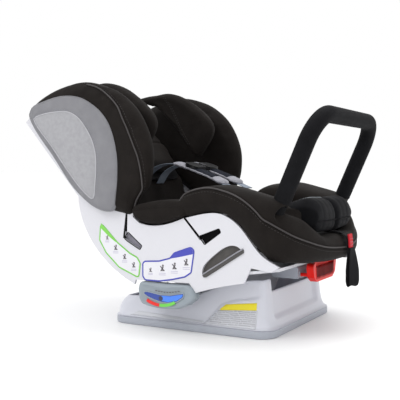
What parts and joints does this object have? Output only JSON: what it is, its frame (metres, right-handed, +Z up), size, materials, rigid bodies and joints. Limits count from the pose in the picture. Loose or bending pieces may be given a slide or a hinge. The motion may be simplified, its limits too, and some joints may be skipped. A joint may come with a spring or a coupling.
{
  "type": "convertible car seat",
  "caption": "Rear-facing child seat: padded wing shell rocking on a moulded base, five-point harness, lifting seat pan, level gauges and a rebound bar.",
  "frame": {"origin": "centre of the base's rest face, on the surface that the seat stands on", "axes": "+X towards the child's feet, +Y to the child's left, +Z up"},
  "size_m": [0.7377, 0.508, 0.56],
  "materials": {
    "shell_plastic": "moulded satin shell, cool white",
    "base_plastic": "fine-grained moulded plastic, light lavender grey",
    "rubber": "soft matt rubber",
    "steel": "zinc-plated steel",
    "tongue_steel": "polished plate",
    "black_cover": "soft woven cover fabric with sewn piping",
    "grey_cover": "mid grey woven fabric with a sewn panel",
    "quilted_fabric": "quilted plush fabric",
    "pocket_weave": "coarse dark weave",
    "gauge_plastic": "moulded grey plastic",
    "gauge_window": "clear tinted window",
    "gauge_ball": "gloss ball",
    "black_webbing": "narrow woven polyester webbing",
    "grey_webbing": "narrow woven polyester webbing",
    "pad_fabric": "brushed pad fabric",
    "black_plastic": "moulded black plastic",
    "grey_button": "moulded grey plastic",
    "red_plastic": "moulded red plastic",
    "red_fabric": "woven red tab",
    "foam": "closed-cell foam grip"
  },
  "bodies": {
    "base": {"base_shell": "base_plastic", "base_grip_pads": "rubber", "recline_rack_left": "steel", "recline_rack_right": "steel"},
    "shell": {"seat_shell": "shell_plastic", "recline_cross_pin": "steel", "pan_hinge_pins": "steel", "wing_cover_left": "black_cover", "wing_cover_right": "black_cover", "side_cushion_left": "grey_cover", "side_cushion_right": "grey_cover", "arm_pad_left": "black_cover", "arm_pad_right": "black_cover", "backrest_pad": "black_cover", "headrest_guide_rods": "steel", "side_pocket_left": "pocket_weave", "side_pocket_right": "pocket_weave", "level_housing_left": "gauge_plastic", "level_housing_right": "gauge_plastic", "level_window_left": "gauge_window", "level_window_right": "gauge_window", "tether_strap": "black_webbing", "tether_hook": "steel", "harness_yoke": "steel", "handle_housing": "black_plastic", "shoulder_strap_left": "grey_webbing", "shoulder_strap_right": "grey_webbing", "harness_strap_lower_left": "black_webbing", "harness_strap_lower_right": "black_webbing", "shoulder_pad_left": "pad_fabric", "shoulder_pad_right": "pad_fabric", "chest_clip_left": "black_plastic", "chest_clip_right": "black_plastic"},
    "gauge_ball_left": {"level_ball_left": "gauge_ball"},
    "gauge_ball_right": {"level_ball_right": "gauge_ball"},
    "handle": {"recline_handle": "red_plastic"},
    "headrest": {"headrest_frame": "black_plastic", "headrest_pad": "black_cover", "headrest_wing_left": "black_cover", "headrest_wing_right": "black_cover"},
    "grip": {"headrest_grip": "black_plastic"},
    "seat_pan": {"seat_pan_frame": "black_plastic", "bar_sockets": "steel", "seat_cushion": "black_cover", "thigh_bolster_left": "black_cover", "thigh_bolster_right": "black_cover", "nose_cover": "black_cover", "foot_insert": "quilted_fabric", "buckle_housing": "black_plastic", "buckle_tongues": "tongue_steel", "lap_and_crotch_straps": "black_webbing", "adjuster_strap": "black_webbing", "adjuster_tab": "red_fabric", "adjuster_tail": "black_webbing"},
    "pan_button": {"pan_release_button": "grey_button"},
    "lever": {"adjuster_lever": "steel"},
    "buckle_press": {"buckle_button": "red_plastic"},
    "bar": {"rebound_bar_tube": "steel", "rebound_bar_foam": "foam"},
    "clip_press": {"chest_clip_button": "black_plastic"}
  },
  "joints": [
    {"name": "recline_rock", "type": "hinge", "parent": "base", "child": "shell", "pos_m": [0.17, 0, 0.44], "axis": [0, 1, 0], "range_deg": [0, 15]},
    {"name": "gauge_ball_left_roll", "type": "hinge", "parent": "shell", "child": "gauge_ball_left", "pos_m": [-0.036, 0.2256, 0.132], "axis": [0, 1, 0], "range_deg": [-15, 0]},
    {"name": "gauge_ball_right_roll", "type": "hinge", "parent": "shell", "child": "gauge_ball_right", "pos_m": [-0.036, -0.2256, 0.132], "axis": [0, 1, 0], "range_deg": [-15, 0]},
    {"name": "recline_handle_pull", "type": "slide", "parent": "shell", "child": "handle", "axis": [1, 0, 0], "range_m": [0, 0.012], "stiffness_N_per_m": 400, "springref_m": -0.01},
    {"name": "headrest_height", "type": "slide", "parent": "shell", "child": "headrest", "axis": [-0.6697, 0, 0.7427], "range_m": [0, 0.1]},
    {"name": "headrest_grip_squeeze", "type": "slide", "parent": "headrest", "child": "grip", "axis": [0.6697, 0, -0.7427], "range_m": [0, 0.005], "stiffness_N_per_m": 500, "springref_m": -0.004},
    {"name": "seat_pan_open", "type": "hinge", "parent": "shell", "child": "seat_pan", "pos_m": [-0.135, 0, 0.19], "axis": [0, -1, 0], "range_deg": [0, 25], "deforming": ["harness_strap_lower_left", "harness_strap_lower_right", "shoulder_pad_left", "shoulder_pad_right"]},
    {"name": "pan_release_press", "type": "slide", "parent": "seat_pan", "child": "pan_button", "axis": [0, 0, 1], "range_m": [0, 0.003], "stiffness_N_per_m": 400, "springref_m": -0.002},
    {"name": "adjuster_lever_lift", "type": "hinge", "parent": "seat_pan", "child": "lever", "pos_m": [0.2485, 0.03, 0.2185], "axis": [0, -1, 0], "range_deg": [0, 20], "stiffness_Nm_per_rad": 0.2, "springref_deg": -5.73},
    {"name": "buckle_button_press", "type": "slide", "parent": "seat_pan", "child": "buckle_press", "axis": [-0.8829, 0, -0.4695], "range_m": [0, 0.003], "stiffness_N_per_m": 400, "springref_m": -0.002},
    {"name": "rebound_bar_lift", "type": "slide", "parent": "seat_pan", "child": "bar", "axis": [0.3971, 0, 0.9178], "range_m": [0, 0.12]},
    {"name": "chest_clip_press", "type": "slide", "parent": "shell", "child": "clip_press", "axis": [-0.342, 0, -0.9397], "range_m": [0, 0.002], "stiffness_N_per_m": 400, "springref_m": -0.002}
  ],
  "couplings": [
    {"joint": "gauge_ball_left_roll", "follows": "recline_rock", "ratio": -1},
    {"joint": "gauge_ball_right_roll", "follows": "recline_rock", "ratio": -1}
  ]
}
